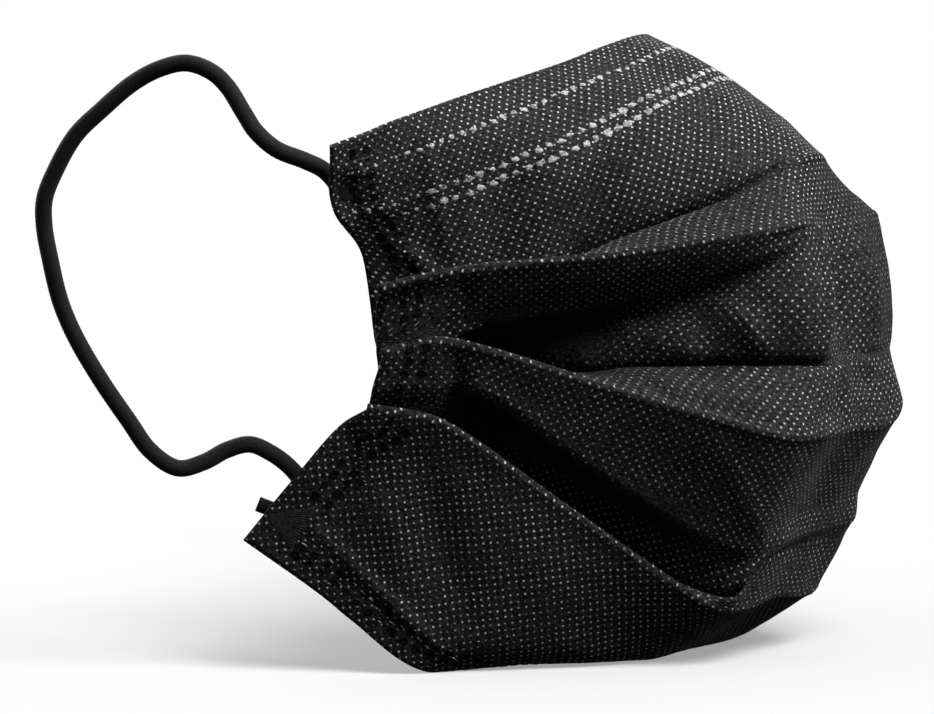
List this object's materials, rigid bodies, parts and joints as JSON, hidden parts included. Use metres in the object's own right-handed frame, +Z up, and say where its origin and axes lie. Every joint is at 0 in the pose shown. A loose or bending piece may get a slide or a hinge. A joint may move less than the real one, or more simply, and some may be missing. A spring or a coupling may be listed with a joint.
{
  "type": "surgical mask",
  "caption": "Disposable pleated surgical mask, opened out into a bowl and resting on its chin edge, with a round elastic ear loop welded inside each side edge.",
  "frame": {"origin": "on the floor, in the middle of the flat strip of the chin panel that the mask rests on, in the mask's left to right middle", "axes": "+Z up, -Y the way the mask faces, +X to the right as seen from its front; left and right in node names are as seen from the front"},
  "size_m": [0.1775, 0.1292, 0.1108],
  "materials": {
    "cloth": "matte black spunbond polypropylene",
    "elastic": "matte black knitted elastic"
  },
  "bodies": {
    "root": {"mask_body": "cloth", "ear_loop_left": "elastic", "ear_loop_right": "elastic", "upper_weld_left": "elastic", "upper_weld_right": "elastic", "lower_weld_left": "elastic", "lower_weld_right": "elastic", "cord_tail_left": "elastic", "cord_tail_right": "elastic"}
  },
  "joints": []
}
